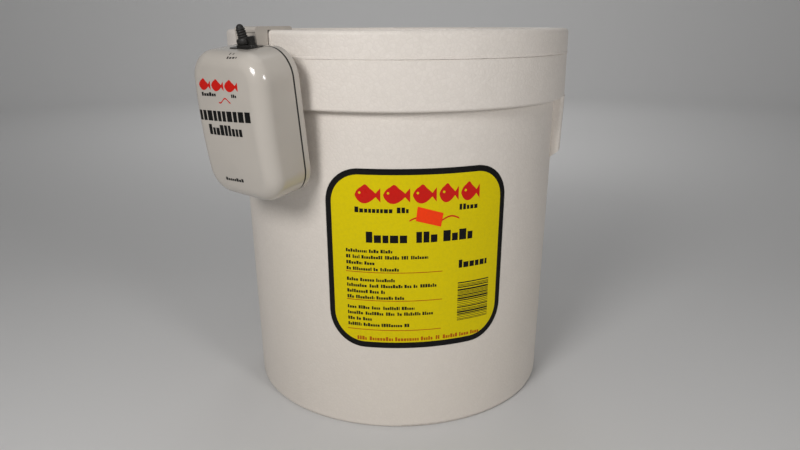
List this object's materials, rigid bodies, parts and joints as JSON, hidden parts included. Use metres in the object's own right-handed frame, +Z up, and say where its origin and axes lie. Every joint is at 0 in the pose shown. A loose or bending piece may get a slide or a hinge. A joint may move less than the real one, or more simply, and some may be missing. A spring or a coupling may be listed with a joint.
{
  "type": "aerated bait bucket",
  "caption": "Insulated foam bait bucket with lid, folding bail, hung battery air pump with toggle switch, and an air stone inside.",
  "frame": {"origin": "centre of the bucket's flat base, on the bucket's axis", "axes": "+Z up along the bucket's axis; -Y towards the front, between the label and the pump; bail pivots on X"},
  "size_m": [0.2908, 0.3151, 0.308],
  "materials": {
    "foam": "moulded foam beads",
    "label_print": "glossy printed sheet",
    "white_plastic": "satin",
    "steel_wire": "drawn wire",
    "grip_plastic": "satin",
    "porous_stone": "sintered grains",
    "clear_plastic": "gloss",
    "case_plastic": "gloss moulded",
    "black_rubber": "satin",
    "plated_steel": "plated",
    "black_plastic": "gloss",
    "cell_jacket": "printed jacket",
    "motor_steel": "plated can",
    "brass": "turned",
    "frame_plastic": "satin",
    "head_plastic": "satin",
    "hose": "soft silicone",
    "red_insulation": "satin",
    "black_insulation": "satin"
  },
  "bodies": {
    "bucket": {"bucket_body": "foam", "label": "label_print", "bushing_right": "white_plastic", "bushing_left": "white_plastic"},
    "lid": {"lid": "foam"},
    "air_stone": {"air_stone_body": "porous_stone", "air_stone_nipple": "clear_plastic"},
    "bail": {"bail_wire": "steel_wire"},
    "grip": {"bail_grip": "grip_plastic"},
    "pump": {"back_shell": "case_plastic", "case_gasket": "black_rubber", "hanger_hook": "case_plastic", "hook_screws": "plated_steel", "switch_panel": "black_plastic", "switch_body": "black_plastic", "switch_nut": "plated_steel", "outlet_nipple": "black_plastic", "battery_cell": "cell_jacket", "contact_plate": "plated_steel", "contact_spring": "plated_steel", "motor_can": "motor_steel", "motor_sleeve": "black_rubber", "pump_frame": "frame_plastic", "frame_screws": "plated_steel", "diaphragm": "black_rubber", "pump_head": "head_plastic", "valve_flaps": "black_rubber", "valve_cover": "head_plastic", "head_screws": "plated_steel", "air_hose": "hose", "lead_positive": "red_insulation", "lead_switch": "red_insulation", "lead_negative": "black_insulation"},
    "cover": {"front_shell": "case_plastic"},
    "toggle": {"toggle_lever": "plated_steel", "toggle_boot": "black_rubber"},
    "crank": {"motor_shaft": "plated_steel", "crank_cam": "brass"},
    "rod": {"connecting_rod": "frame_plastic"}
  },
  "joints": [
    {"name": "lid_lift", "type": "slide", "parent": "bucket", "child": "lid", "axis": [0, 0, 1], "range_m": [0, 0.032]},
    {"name": "stone_lift", "type": "slide", "parent": "bucket", "child": "air_stone", "axis": [0, 0, 1], "range_m": [0, 0.2]},
    {"name": "bail_swing", "type": "hinge", "parent": "bucket", "child": "bail", "pos_m": [0, 0, 0.228], "axis": [-1, 0, 0], "range_deg": [-170, 0]},
    {"name": "grip_spin", "type": "hinge", "parent": "bail", "child": "grip", "pos_m": [0, 0.14194, 0.12735], "axis": [1, 0, 0], "continuous": true},
    {"name": "pump_unhook", "type": "slide", "parent": "lid", "child": "pump", "axis": [-0.082, -0.1016, 0.9914], "range_m": [0, 0.06]},
    {"name": "cover_pull", "type": "slide", "parent": "pump", "child": "cover", "axis": [-0.6226, -0.7716, -0.1305], "range_m": [0, 0.04]},
    {"name": "toggle_tilt", "type": "hinge", "parent": "pump", "child": "toggle", "pos_m": [-0.10179, -0.13006, 0.29296], "axis": [0.6226, 0.7716, 0.1305], "range_deg": [0, 30], "deforming": ["toggle_boot"]},
    {"name": "crank_spin", "type": "hinge", "parent": "pump", "child": "crank", "pos_m": [-0.08868, -0.13892, 0.22921], "axis": [-0.6226, -0.7716, -0.1305], "continuous": true},
    {"name": "rod_stroke", "type": "slide", "parent": "pump", "child": "rod", "axis": [-0.0643, -0.1158, 0.9912], "range_m": [-0.001, 0.001], "deforming": ["diaphragm"]}
  ]
}
